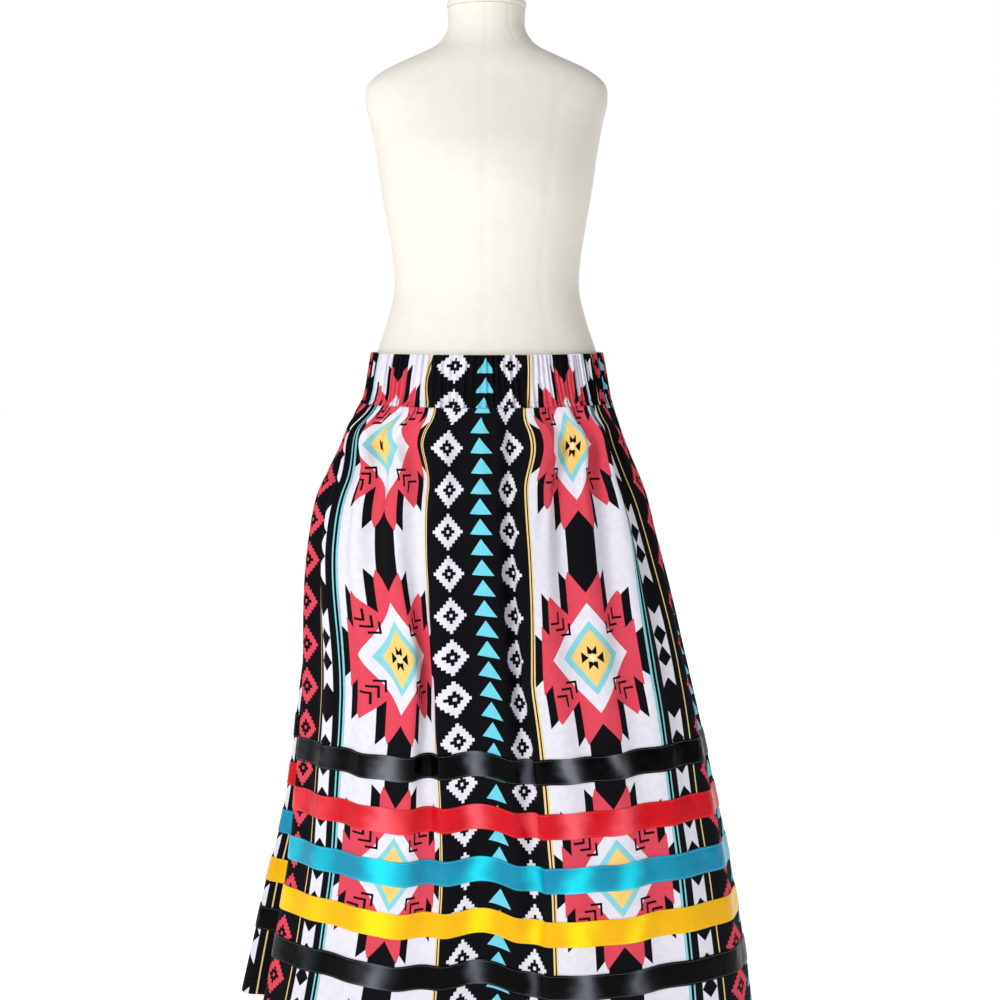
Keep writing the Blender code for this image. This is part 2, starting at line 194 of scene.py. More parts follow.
def newGroup(name, inputs, outputs):  # an input that starts at None is a vector, the output Color a colour
    tree = bpy.data.node_groups.new(name, "ShaderNodeTree")
    for label, value in inputs.items():
        kind = "NodeSocketVector" if value is None else "NodeSocketFloat"
        socket = tree.interface.new_socket(label, in_out="INPUT", socket_type=kind)
        if value is not None:
            socket.default_value = value
    for label in outputs:
        kind = "NodeSocketColor" if label == "Color" else "NodeSocketFloat"
        tree.interface.new_socket(label, in_out="OUTPUT", socket_type=kind)
    return tree, tree.nodes.new("NodeGroupInput"), tree.nodes.new("NodeGroupOutput")


def placeGroup(tree, group, **values):
    node = tree.nodes.new("ShaderNodeGroup")
    node.node_tree = group
    return feedAll(tree, node, values)


def mixOf(tree, first, second, share, blend="MIX"):
    node = tree.nodes.new("ShaderNodeMix")
    node.data_type = "RGBA"
    node.blend_type = blend
    return feedAll(tree, node, {"Factor": share, "A": first, "B": second}).outputs["Result"]


def shaded(tree, colour, shade):  # a colour multiplied by a grey value
    return mixOf(tree, colour, shade, 1.0, "MULTIPLY")


def axesOf(tree, places):
    return [Field(tree, socket) for socket in newNode(tree, "ShaderNodeSeparateXYZ", Vector=places).outputs]


def stretchedBy(tree, places, scale):
    return newNode(tree, "ShaderNodeMapping", Vector=places, Scale=scale).outputs[0]


def noiseOf(tree, places, scale, detail, **more):
    noise = newNode(tree, "ShaderNodeTexNoise", Vector=places, Scale=scale, Detail=detail, **more)
    return Field(tree, noise.outputs["Fac"])


def bumpOf(tree, height, metres, **more):
    return newNode(tree, "ShaderNodeBump", Height=height, Distance=metres, **more).outputs[0]


def clothPlaces(tree):
    node = tree.nodes.new("ShaderNodeUVMap")
    node.uv_map = "clothMetres"
    return node.outputs["UV"]


def objectPlaces(tree):
    return tree.nodes.new("ShaderNodeTexCoord").outputs["Object"]


def finishOf(name, colour, roughness):
    made = bpy.data.materials.new(name)
    made.use_nodes = True
    shader = made.node_tree.nodes["Principled BSDF"]
    feedAll(made.node_tree, shader, {"Base Color": colour, "Roughness": roughness})
    return made, made.node_tree, shader


# print of the cotton, charted in metres of flat cloth
printChart = {
    "repeatAcross": 0.860, "repeatAlong": 0.311,
    "middleRow": 0.632, "rowsPerMetre": 3.1686, "rowsEasing": 0.2537,  # height of a row, repeats down from it
    "bandLines": 0.095, "bandEnd": 0.295, "bandInsets": (0.0035, 0.0055), "medallion": 0.195,
    "whiteDiamonds": 0.055, "coralDiamonds": 0.388, "cellWide": 0.0043, "cellHigh": 0.0049, "diamondsEach": 5,
    "twinApart": 0.0023, "twinHalf": 0.0013, "pairApart": 0.0035, "pairHalves": (0.0017, 0.0012),
    "fineLine": 0.350, "fineHalf": 0.0011,
    "trianglePitch": 0.0301, "triangleBase": 0.003, "triangleHalf": 0.018, "triangleHigh": 0.024,
    "blocks": 0.325, "blockHalf": 0.0132, "blockMiddle": 0.0395, "blockNotch": 0.0080, "bowSlope": 1.38,
    "black": (0.0030, 0.0030, 0.0048), "white": (0.730, 0.715, 0.795), "coral": (0.680, 0.062, 0.098),
    "turquoise": (0.150, 0.590, 0.720), "paleTurquoise": (0.230, 0.600, 0.670), "gold": (0.870, 0.570, 0.170),
    "goldLine": (0.780, 0.580, 0.250), "centre": (0.900, 0.720, 0.380),
}
medallionChart = {  # p across and q along from its centre; an edge is a line q = slope p + height
    "bar": (0.0245, 1.154, 0.095),  # half width, slope and height of its end
    "flanks": (  # from p, to p, slope, height: the black beside the star
        (0.030, 0.0425, 1.08, 0.0806), (0.070, 0.0825, 0.96, 0.0188), (0.080, 0.0965, 0.85, -0.0437),
    ),
    "points": (  # to p, slope and height of the near and the far edge: the star, the last with no far edge
        (0.030, 1.154, 0.095, -3.0, 0.203), (0.070, 0.86, 0.0362, -1.4, 0.1831),
        (0.0845, 1.0, -0.0344, 0.0, 1.0),
    ),
    "diamonds": {  # half width and half height
        "White": (0.066, 0.080), "Turquoise": (0.046, 0.054), "Gold": (0.033, 0.042),
        "Centre": (0.0063, 0.0070),
    },
    "hooks": ((0.0500, 0.0520), (0.0405, 0.0425), (0.0310, 0.0340)), "hookHalf": 0.0017, "hookLong": 0.0160,
    "block": (0.0070, 0.0105, 0.0055),  # half width, height of its slanted end, where it starts
    "wing": (0.0170, 0.0060, 0.75),  # half width, where it starts, slope
}


def buildSteppedDiamond():
    # cells i across and j along: filled where |i| + |j| is 5 or less; the ring is the eight cells round the
    # centre and one more at the end of each arm
    tree, start, end = newGroup("steppedDiamond", {"Across": 0.0, "Along": 0.0}, ("Shape", "Ring"))
    i = abs((Field(tree, start.outputs["Across"]) / printChart["cellWide"]).whole())
    j = abs((Field(tree, start.outputs["Along"]) / printChart["cellHigh"]).whole())
    both = i + j
    near = (i.most(j) < 1.5) | ((i * j < 0.5) & (both < 2.5))
    feedAll(tree, end, {"Shape": both < 5.5, "Ring": near & (both > 0.5)})
    return tree


def anyOf(masks):
    total = masks[0]
    for mask in masks[1:]:
        total = total | mask
    return total


def buildMedallion():
    # p across and q along are taken positive, so that each edge is drawn once for all four quarters
    chart, diamonds = medallionChart, medallionChart["diamonds"]
    names = ("Black", "Star", "White", "Turquoise", "Gold", "Marks", "Centre")
    tree, start, end = newGroup("medallion", {"Across": 0.0, "Along": 0.0}, names)
    p = abs(Field(tree, start.outputs["Across"]))
    q = abs(Field(tree, start.outputs["Along"]))
    half, slope, height = chart["bar"]
    dark = [(p < half) & (q > p * slope + height)]
    for low, high, slope, height in chart["flanks"]:
        dark.append((p > low) & (p < high) & (q < p * slope + height))
    star = []
    for high, slope, height, farSlope, farHeight in chart["points"]:
        star.append((p < high) & (q < (p * slope + height).least(p * farSlope + farHeight)))
    marks = []
    for across, along in chart["hooks"]:
        a, b = p - across, q - along
        marks.append((abs(a.least(b)) < chart["hookHalf"]) & (a.most(b) < chart["hookLong"]))
    half, height, low = chart["block"]
    marks.append((p < half) & (q < p + height) & (q > low))
    half, low, slope = chart["wing"]
    marks.append((p < half) & (q < (p - low) * slope))
    feedAll(tree, end, {"Black": anyOf(dark), "Star": anyOf(star), "Marks": anyOf(marks)})
    for name, (wide, high) in diamonds.items():
        feed(tree, end.inputs[name], (p / wide + q / high) < 1.0)
    return tree


def buildPrint():
    tree, start, end = newGroup("clothPrint", {"Cloth": None}, ("Color",))
    chart = printChart
    x, along, _ = axesOf(tree, start.outputs["Cloth"])
    x = abs(x.every(chart["repeatAcross"]))
    stepped, medallion = buildSteppedDiamond(), buildMedallion()
    colour = chart["black"]

    def paint(key, mask):
        return mixOf(tree, colour, chart[key], mask)

    low, high = chart["bandInsets"]
    band = (x > chart["bandLines"] + low) & (x < chart["bandEnd"] - high)
    colour = paint("white", band)
    star = placeGroup(tree, medallion, Across=x - chart["medallion"], Along=along.every(chart["repeatAlong"]))
    layers = (("Black", "black"), ("Star", "coral"), ("White", "white"), ("Turquoise", "paleTurquoise"),
              ("Gold", "gold"), ("Marks", "black"), ("Centre", "centre"))
    for name, key in layers:
        colour = paint(key, Field(tree, star.outputs[name]) & band)

    colour = paint("goldLine", abs(abs(x - chart["bandLines"]) - chart["twinApart"]) < chart["twinHalf"])
    inner, outer = chart["pairHalves"]
    pair = abs(x - (chart["bandEnd"] - chart["pairApart"])) < inner
    colour = paint("paleTurquoise", pair | (abs(x - (chart["bandEnd"] + chart["pairApart"])) < outer))
    colour = paint("goldLine", abs(x - chart["fineLine"]) < chart["fineHalf"])

    step = along.every(chart["repeatAlong"] / chart["diamondsEach"])
    for centre, key in ((chart["whiteDiamonds"], "white"), (chart["coralDiamonds"], "coral")):
        diamond = placeGroup(tree, stepped, Across=x - centre, Along=step)
        filled = Field(tree, diamond.outputs["Shape"]) & (Field(tree, diamond.outputs["Ring"]) < 0.5)
        colour = paint(key, filled)

    # triangles on the middle of both dark bands: |x| under half (1 - height / high)
    halfPitch = chart["trianglePitch"] / 2
    height = (along - (chart["triangleBase"] + halfPitch)).every(chart["trianglePitch"]) + halfPitch
    reach = (height * (-1.0 / chart["triangleHigh"]) + 1.0) * chart["triangleHalf"]
    colour = paint("turquoise", x.least(abs(x - chart["repeatAcross"] / 2)) < reach)

    # blocks with notched ends, |y| < notch + |x|, and a bow tie on each medallion row, |y| < slope |x|
    wide = abs(x - chart["blocks"])
    row = abs(along.every(chart["repeatAlong"] / 2))
    notched = abs(row - chart["blockMiddle"]) < wide + chart["blockNotch"]
    blocks = (notched | (row < wide * chart["bowSlope"])) & (wide < chart["blockHalf"])
    feed(tree, end.inputs["Color"], paint("white", blocks))
    return tree


def buildWeave():
    # plain weave: the height is the larger of two crossed rows of rounded threads, sin^2 across each
    tree, start, end = newGroup("plainWeave", {"Cloth": None, "Thread": 0.0006}, ("Height", "Shade"))
    across, along, _ = axesOf(tree, start.outputs["Cloth"])
    thread = Field(tree, start.outputs["Thread"])
    warp = ((across / thread) * math.pi).maths("SINE")
    weft = ((along / thread) * math.pi).maths("SINE")
    slub = noiseOf(tree, start.outputs["Cloth"], 90.0, 3.0)
    feedAll(tree, end, {"Height": (warp * warp).most(weft * weft), "Shade": slub * 0.24 + 0.88})
    return tree


def buildRumples():
    # soft creases of handled cloth: noise stretched along the grain, from -0.5 to 0.5
    tree, start, end = newGroup("rumples", {"Cloth": None, "Across": 22.0, "Along": 5.0}, ("Height",))
    scale = newNode(tree, "ShaderNodeCombineXYZ", X=start.outputs["Across"], Y=start.outputs["Along"])
    stretched = tree.nodes.new("ShaderNodeVectorMath")
    stretched.operation = "MULTIPLY"
    feed(tree, stretched.inputs[0], start.outputs["Cloth"])
    feed(tree, stretched.inputs[1], scale.outputs[0])
    noise = noiseOf(tree, stretched.outputs[0], 1.0, 2.5, Roughness=0.45)
    feed(tree, end.inputs["Height"], noise - 0.5)
    return tree


printGroup, weaveGroup, rumpleGroup = buildPrint(), buildWeave(), buildRumples()


def cottonFinish(name, wrongSide):
    made, tree, shader = finishOf(name, (0.5, 0.5, 0.5), 0.78)
    cloth = clothPlaces(tree)
    colour = placeGroup(tree, printGroup, Cloth=cloth).outputs["Color"]
    weave = placeGroup(tree, weaveGroup, Cloth=cloth, Thread=0.0005)
    rumple = placeGroup(tree, rumpleGroup, Cloth=cloth)
    if wrongSide:  # the ink shows through paler
        colour = mixOf(tree, colour, (0.62, 0.61, 0.64), 0.62)
    soft = bumpOf(tree, rumple.outputs["Height"], 0.0022)
    feedAll(tree, shader, {
        "Base Color": shaded(tree, colour, weave.outputs["Shade"]), "Specular IOR Level": 0.07,
        "Normal": bumpOf(tree, weave.outputs["Height"], 0.00006, Normal=soft),
    })
    return made


cotton, cottonBack = cottonFinish("printedCotton", False), cottonFinish("printedCottonWrongSide", True)
print("print and cotton ready")

# the hanging cloth
skirt = {
    "length": 2.150, "rightSeam": 0.5375, "leftSeam": -0.5375, "seamGap": 0.0003, "wall": 0.0015,
    "hem": 0.022, "casingBottom": 0.998, "casingTop": 1.075,
    "columns": 270, "rowStep": 0.0062, "steepest": 0.12, "stitchShare": 0.34, "open": 0.935,
    "flatter": 0.42, "flatPlace": -0.04, "flatReach": 0.14, "uneven": 0.0011,
    "outline": (  # z, halfWidth, shiftX, middleY, frontDepth, backDepth, skew
        (1.075, 0.1808, 0.000, 0.000, 0.1328, 0.1338, 0.00),
        (0.998, 0.1973, -0.001, 0.000, 0.1458, 0.1555, 0.00),
        (0.975, 0.2090, -0.004, 0.000, 0.1535, 0.1690, 0.00),
        (0.930, 0.2290, -0.006, 0.000, 0.1630, 0.1880, 0.00),
        (0.860, 0.2600, -0.009, -0.002, 0.1720, 0.2130, -0.02),
        (0.790, 0.2760, -0.007, -0.004, 0.1770, 0.2280, -0.03),
        (0.690, 0.2960, -0.001, -0.007, 0.1820, 0.2440, -0.05),
        (0.600, 0.3110, 0.005, -0.010, 0.1860, 0.2560, -0.07),
        (0.500, 0.3280, 0.011, -0.012, 0.1920, 0.2670, -0.09),
        (0.400, 0.3450, 0.016, -0.014, 0.1980, 0.2760, -0.11),
        (0.300, 0.3640, 0.018, -0.015, 0.2040, 0.2840, -0.13),
        (0.200, 0.3850, 0.014, -0.015, 0.2100, 0.2910, -0.14),
        (0.130, 0.3980, 0.012, -0.015, 0.2140, 0.2960, -0.14),
        (0.070, 0.4090, 0.009, -0.015, 0.2180, 0.3000, -0.14),
        (0.022, 0.4180, 0.007, -0.015, 0.2210, 0.3030, -0.14),
    ),
    "sinks": (  # cloth, half width, millimetres up: the lower part hangs unevenly
        (-0.400, 0.160, -8.0), (-0.220, 0.160, -9.0), (-0.030, 0.060, 7.0), (0.050, 0.060, -7.0),
        (0.310, 0.170, 7.0), (0.640, 0.090, -2.0), (0.800, 0.090, 2.0), (0.960, 0.080, -2.5),
        (1.120, 0.090, 2.0), (1.280, 0.080, -2.0),
    ),
    "foldHeights": (0.930, 0.600, 0.022),
    "folds": (  # cloth, and in millimetres: half width, depth at the waist, in the middle and at the hem
        (-0.510, 42, 26, 18, 4), (-0.430, 42, 24, 20, 8), (-0.350, 40, 23, 10, 0), (-0.275, 40, 21, 10, 2),
        (-0.200, 40, 21, 8, 0), (-0.118, 40, 18, 28, 8), (-0.035, 38, 16, 5, 0), (0.055, 36, 21, 26, 4),
        (0.165, 41, 24, 10, 2), (0.250, 42, 22, 10, 2), (0.335, 42, 23, 10, 0), (0.420, 42, 24, 14, 0),
        (0.500, 38, 26, 20, 6), (0.580, 40, 27, 21, 5), (0.660, 41, 29, 24, 5), (0.745, 42, 30, 25, 8),
        (0.826, 41, 28, 26, 5), (0.910, 42, 30, 23, 4), (0.990, 41, 29, 26, 8), (1.076, 42, 28, 24, 4),
        (1.155, 41, 30, 27, 7), (1.240, 42, 29, 24, 5), (1.322, 41, 29, 25, 8), (1.405, 42, 28, 23, 5),
        (1.488, 41, 28, 22, 5), (1.568, 40, 26, 18, 5), (-0.005, 130, 0, 8, 42), (0.255, 85, 0, 2, 8),
        (-0.250, 90, 0, 2, 8), (-0.465, 90, 0, 18, 60), (0.530, 95, 0, 8, 32), (0.745, 100, 0, 10, 40),
        (0.955, 100, 0, 10, 44), (1.165, 105, 0, 12, 46), (1.370, 95, 0, 10, 34),
    ),
    "creases": (  # short folds: cloth and z of both ends, half width and depth in millimetres
        (0.2, 0.985, 0.196, 0.8, 16, 6), (0.14, 0.98, 0.118, 0.8, 14, 4),
        (-0.16, 0.985, -0.15, 0.84, 14, 4), (0.3, 0.985, 0.31, 0.82, 15, 5),
        (-0.3, 0.985, -0.31, 0.83, 15, 5), (-0.078, 0.985, -0.07, 0.86, 13, 4),
        (0.01, 0.985, 0.016, 0.85, 12, 3), (0.38, 0.985, 0.372, 0.85, 14, 5),
        (0.462, 0.985, 0.47, 0.83, 15, 5), (-0.392, 0.985, -0.385, 0.84, 14, 5),
        (-0.47, 0.985, -0.478, 0.83, 15, 5), (0.62, 0.985, 0.61, 0.82, 15, 5),
        (0.702, 0.985, 0.712, 0.84, 15, 6), (0.786, 0.985, 0.778, 0.81, 15, 5),
        (0.868, 0.985, 0.88, 0.84, 14, 5), (0.95, 0.985, 0.944, 0.8, 15, 6),
        (1.032, 0.985, 1.04, 0.83, 15, 5), (1.116, 0.985, 1.108, 0.81, 14, 5),
        (1.198, 0.985, 1.208, 0.84, 15, 6), (1.282, 0.985, 1.274, 0.8, 15, 5),
        (1.364, 0.985, 1.372, 0.83, 14, 5), (1.446, 0.985, 1.438, 0.82, 15, 5),
        (1.528, 0.985, 1.536, 0.84, 14, 5),
    ),
}
angles = np.linspace(-math.pi, math.pi, 1441)
clothSteps = np.arange(-skirt["length"] / 2, skirt["length"] / 2 + 0.0005, 0.001)


def outlineRing(z, turns):
    # x = shift + w sin(a), y = middle - d cos(a) + skew w sin(a), d the front or the back depth; outward is
    # the tangent turned
    halfWidth, shiftX, middleY, frontDepth, backDepth, skew = rowsAt(skirt["outline"], z)
    depth = np.where(np.cos(turns) > 0.0, frontDepth, backDepth)
    across = halfWidth * np.sin(turns)
    points = np.stack((shiftX + across, middleY - depth * np.cos(turns) + skew * across), axis=-1)
    stepX = halfWidth * np.cos(turns)
    return points, unit(np.stack((depth * np.sin(turns) + skew * stepX, -stepX), axis=-1))


def wrapped(distance):
    return (distance + skirt["length"] / 2) % skirt["length"] - skirt["length"] / 2


def trough(cloth, centre, halfWidth):  # 1 at the fold's centre, a squared cosine to 0 at its half width
    return np.cos(0.5 * math.pi * np.clip(np.abs(wrapped(cloth - centre)) / halfWidth, 0.0, 1.0)) ** 2


def foldDepth(cloth, z):
    # sum of the troughs, each as deep as its row says at three heights, the creases and a slow unevenness
    total = np.zeros_like(cloth)
    shut = smoothStep(skirt["open"], skirt["casingBottom"], z)
    opening = skirt["stitchShare"] + (1 - skirt["stitchShare"]) * (1 - shut)
    for centre, halfWidth, waist, middle, hem in skirt["folds"]:
        depth = 0.001 * np.interp(z, skirt["foldHeights"][::-1], (hem, middle, waist))
        total += depth * opening * trough(cloth, centre, 0.001 * halfWidth)
    for top, topZ, bottom, bottomZ, halfWidth, depth in skirt["creases"]:
        if bottomZ - 0.05 < z < topZ + 0.02:
            place = np.interp(z, (bottomZ, topZ), (bottom, top))
            fade = smoothStep(bottomZ - 0.05, bottomZ + 0.09, z) * (1 - 0.75 * smoothStep(0.960, 0.998, z))
            total += 0.001 * depth * fade * trough(cloth, place, 0.001 * halfWidth)
    turn = 2 * math.pi * cloth / skirt["length"]
    slow = np.sin(17 * turn + 9.0 * z + 0.7) * np.sin(7.3 * z + 5 * turn) + 0.6 * np.sin(29 * turn - 13.0 * z)
    total += skirt["uneven"] * (1 + slow * 0.6) * smoothStep(0.990, 0.900, z)
    return total


def clothRing(z, columns, depthOf):
    # a step along the cloth covers sqrt((k f)^2 - slope^2) of the outline, with k such that the length closes
    # round it; f is over 1 at the middle of the front near the waist, where less cloth is drawn in
    ring, _ = outlineRing(z, angles)
    walked = np.concatenate(([0.0], np.cumsum(np.linalg.norm(np.diff(ring, axis=0), axis=1))))
    walked -= np.interp(0.0, angles, walked)
    around = walked[-1] - walked[0]
    slope = np.gradient(depthOf(clothSteps, z), clothSteps)
    near = np.exp(-(((clothSteps - skirt["flatPlace"]) / skirt["flatReach"]) ** 2))
    flatter = 1 + skirt["flatter"] * smoothStep(0.88, 0.985, z) * near
    low, high = 0.0, 4.0
    for _ in range(30):
        k = 0.5 * (low + high)
        step = np.sqrt(np.maximum((k * flatter) ** 2 - slope**2, (skirt["steepest"] * k * flatter) ** 2))
        along = np.concatenate(([0.0], np.cumsum(0.5 * (step[1:] + step[:-1]) * np.diff(clothSteps))))
        low, high = (k, high) if along[-1] < around else (low, k)
    along -= np.interp(0.0, clothSteps, along)
    columns = wrapped(columns)
    place = (np.interp(columns, clothSteps, along) - walked[0]) % around + walked[0]
    points, outward = outlineRing(z, np.interp(place, walked, angles))
    flat = points - depthOf(columns, z)[:, None] * outward
    return np.column_stack((flat, np.full(len(columns), z)))


def gridNormals(grid):  # outward normals of a closed grid; those of its first and last row are level
    wide = np.concatenate((grid[:, -1:], grid, grid[:, :1]), axis=1)
    normals = np.cross(wide[:, 2:] - wide[:, :-2], -np.gradient(grid, axis=0))
    normals[[0, -1], :, 2] = 0.0
    return unit(normals)


def printPlace(z):  # the print's own place along at each height: 0 on the middle medallion row, up positive
    down = printChart["middleRow"] - np.asarray(z)
    repeats = printChart["rowsPerMetre"] * down - printChart["rowsEasing"] * down**2
    return -printChart["repeatAlong"] * repeats


# where the gathers pull the print sideways: cloth, height, half width, half height, millimetres
printShifts = (
    (-0.185, 0.500, 0.115, 0.900, -24), (-0.105, 1.030, 0.060, 0.075, 22), (-0.095, 0.590, 0.050, 0.160, 15),
    (0.045, 0.980, 0.100, 0.075, 12), (0.085, 0.730, 0.065, 0.190, -12), (0.045, 0.420, 0.060, 0.200, 11),
    (0.220, 0.925, 0.080, 0.060, 14), (0.260, 1.040, 0.150, 0.100, -16), (0.350, 0.700, 0.080, 0.360, -18),
    (0.435, 0.240, 0.075, 0.330, -17), (-0.530, 0.400, 0.075, 0.900, 12), (-0.365, 0.300, 0.140, 0.800, -19),
    (0.410, 0.860, 0.100, 0.260, 18), (0.280, 0.860, 0.070, 0.200, -6),
)


def printAcross(places, z):  # the print's own place across at each height: the cloth's place plus the shifts
    down = np.asarray(z)[:, None]
    moved = np.zeros((len(z), len(places))) + places
    for cloth, height, halfWidth, halfHeight, millimetres in printShifts:
        share = np.cos(0.5 * math.pi * np.clip(np.abs(down - height) / halfHeight, 0.0, 1.0)) ** 2
        moved += 0.001 * millimetres * share * trough(places, cloth, halfWidth)
    return moved


# ribbons, from the waist down: they share the panels' points
ribbons = {
    "width": 0.038, "pitch": 0.080, "first": 0.469, "gap": 0.0003, "wall": 0.0009, "crown": 0.0005, "rows": 9,
    "colours": (
        # node, painted shaded tone, painted lit tone, gloss, how narrow the painted sheen is, slot: the
        # satin's highlights and shade are painted into its base colour
        ("ribbon_1_black", (0.0006, 0.0006, 0.0010), (0.165, 0.178, 0.208), 0.05, 4.0, "satin_black"),
        ("ribbon_2_red", (0.560, 0.002, 0.009), (0.920, 0.100, 0.130), 0.10, 2.0, "satin_red"),
        ("ribbon_3_turquoise", (0.003, 0.190, 0.340), (0.004, 0.700, 0.860), 0.15, 1.4, "satin_turquoise"),
        ("ribbon_4_yellow", (0.820, 0.390, 0.001), (0.920, 0.720, 0.002), 0.12, 1.2, "satin_yellow"),
        ("ribbon_5_black", (0.0006, 0.0006, 0.0010), (0.125, 0.135, 0.160), 0.05, 4.0, "satin_black"),
    ),
    "threads": (
        (0.200, 0.195, 0.200), (0.760, 0.120, 0.150), (0.250, 0.680, 0.760), (0.930, 0.620, 0.120),
        (0.200, 0.195, 0.200),
    ),
    "dull": 0.20,  # the satin's painted brightness between its painted highlights, a painted shade level
    "highlights": (  # cloth, half width, brightness: painted highlights in the satin's colour, where the folds turn the satin to the light
        (-0.470, 0.060, 0.60), (-0.375, 0.034, 0.62), (-0.305, 0.034, 0.58), (-0.192, 0.058, 1.00),
        (-0.032, 0.034, 0.92), (0.055, 0.027, 0.80), (0.133, 0.037, 1.04), (0.213, 0.031, 0.88),
        (0.425, 0.060, 0.42),
    ),
}


def ribbonRows(number):
    middle = ribbons["first"] - number * ribbons["pitch"]
    return np.linspace(middle + ribbons["width"] / 2, middle - ribbons["width"] / 2, ribbons["rows"])


bands = [ribbonRows(number) for number in range(len(ribbons["colours"]))]
edges = [skirt["casingBottom"] - skirt["seamGap"] / 2]
for band in bands:
    edges += [band[0], band[-1]]
edges.append(skirt["hem"])
heights = []
for number, (top, bottom) in enumerate(zip(edges[::2], edges[1::2])):  # plain cloth, then the ribbon below it
    count = max(4, int(round((top - bottom) / skirt["rowStep"])))
    heights.extend(np.linspace(top, bottom, count)[1 if heights else 0:])
    if number < len(bands):
        heights.extend(bands[number][1:])
heights = np.array(heights)
frontPlaces = np.linspace(skirt["leftSeam"], skirt["rightSeam"], skirt["columns"], endpoint=False)
backPlaces = frontPlaces + skirt["length"] / 2
places = np.concatenate((frontPlaces, backPlaces))
cloth = np.stack([clothRing(z, places, foldDepth) for z in heights])
lowness = 1 - smoothStep(0.47, 0.80, heights)
for centre, halfWidth, millimetres in skirt["sinks"]:
    cloth[..., 2] += 0.001 * millimetres * lowness[:, None] * trough(places, centre, halfWidth)
normals = gridNormals(cloth)
sideways = unit(np.cross((0.0, 0.0, 1.0), normals))
count = skirt["columns"]
spans = {"front": np.arange(count + 1), "back": np.arange(count, 2 * count + 1) % (2 * count)}
spanStarts = {"front": skirt["leftSeam"], "back": skirt["rightSeam"] - skirt["length"]}


def sewnGrid(rows, span, distance):  # points at a distance from the cloth, half a seam gap short at each side
    grid = (cloth[rows] + np.asarray(distance)[..., None] * normals[rows])[:, span]
    grid[:, 0] += sideways[rows][:, span[0]] * skirt["seamGap"] / 2
    grid[:, -1] -= sideways[rows][:, span[-1]] * skirt["seamGap"] / 2
    return grid


def spanPlaces(side):  # cloth places of one panel's columns, in the print's own count
    return spanStarts[side] + np.arange(len(spans[side])) * skirt["length"] / (2 * skirt["columns"])


everyRow = slice(0, len(heights))
for side, span in spans.items():
    outer, inner = sewnGrid(everyRow, span, 0.0), sewnGrid(everyRow, span, -skirt["wall"])
    across = printAcross(spanPlaces(side), heights)
    mesh = clothWall("panel_" + side, outer, inner, across, printPlace(heights))
    finishes = (cotton, cottonBack)
    linkPiece("panel_" + side, mesh, finishes, "printed_cotton", f"skirt_{side}_panel")
print("skirt panels", len(heights), "rows")

# waist casing
casing = {
    "gathers": 44, "depth": 0.0034, "fineGathers": 151, "fineDepth": 0.0047, "puff": 0.0012, "wall": 0.0010,
    "columns": 1510, "rows": 22, "tuck": 0.0008, "tuckReach": 0.0022, "stitchAt": 0.007,
}


def casingDepth(cloth, z):
    # uneven gathers, 0.5 (1 - cos phase), a soft puff between the edges and a tuck along the row of stitches
    turn = 2 * math.pi * cloth / skirt["length"]
    phase = casing["gathers"] * turn + 0.5 * np.sin(5 * turn) + 0.4 * np.sin(9 * turn + 1.0)
    uneven = 0.88 + 0.12 * np.sin(7 * turn + 2.0)
    share = (z - skirt["casingBottom"]) / (skirt["casingTop"] - skirt["casingBottom"])
    puff = casing["puff"] * (1 - math.sin(math.pi * min(max(share, 0.0), 1.0)))
    fromStitches = (z - skirt["casingBottom"] - casing["stitchAt"]) / casing["tuckReach"]
    tuck = casing["tuck"] * math.exp(-(fromStitches**2))
    wander = 1.2 * np.sin(6 * turn + 0.4) + np.sin(13 * turn) + 0.5 * math.sin(38.0 * z)
    finePhase = casing["fineGathers"] * turn + wander
    fine = casing["fineDepth"] * (0.90 + 0.10 * np.sin(17 * turn + 30.0 * z)) * 0.5 * (1 - np.cos(finePhase))
    return puff + tuck + fine + casing["depth"] * uneven * 0.5 * (1 - np.cos(phase))


casingHeights = np.linspace(skirt["casingTop"], skirt["casingBottom"] + skirt["seamGap"] / 2, casing["rows"])
casingSteps = np.arange(casing["columns"]) * skirt["length"] / casing["columns"]
casingPlaces = skirt["rightSeam"] - skirt["length"] + casingSteps
casingCloth = np.stack([clothRing(z, casingPlaces, casingDepth) for z in casingHeights])
level = unit(gridNormals(casingCloth) * (1.0, 1.0, 0.0))
across = printAcross(np.append(casingPlaces, skirt["rightSeam"]), casingHeights)
inner = casingCloth - casing["wall"] * level
mesh = clothWall("casing", casingCloth, inner, across, printPlace(casingHeights), closed=True)
casingPiece = linkPiece("casing", mesh, (cotton, cottonBack), "printed_cotton", "waist_casing")
print("waist casing")


# satin ribbons
def paintedSatinSheen(tree, across, wander):  # the folds' painted highlights, a grey ramp for the base colour, alike on both panels, moved a little by wander
    half, dull = skirt["length"] / 4, ribbons["dull"]
    stops = [(-half, dull)]
    for centre, halfWidth, value in ribbons["highlights"]:
        stops += [(centre - halfWidth, dull), (centre, value), (centre + halfWidth, dull)]
    stops.append((half, dull))
    ramp = tree.nodes.new("ShaderNodeValToRGB")
    ramp.color_ramp.interpolation = "EASE"
    for _ in stops[2:]:
        ramp.color_ramp.elements.new(0.5)
    for stop, (place, value) in zip(ramp.color_ramp.elements, stops):
        stop.position = (place + half) / (2 * half)
        stop.color = (value, value, value, 1.0)
    feed(tree, ramp.inputs["Fac"], (across.every(2 * half) + wander * 0.045) / (2 * half) + 0.5)
    return (Field(tree, ramp.outputs["Color"]) + wander * 0.35).most(0.0).least(1.0)


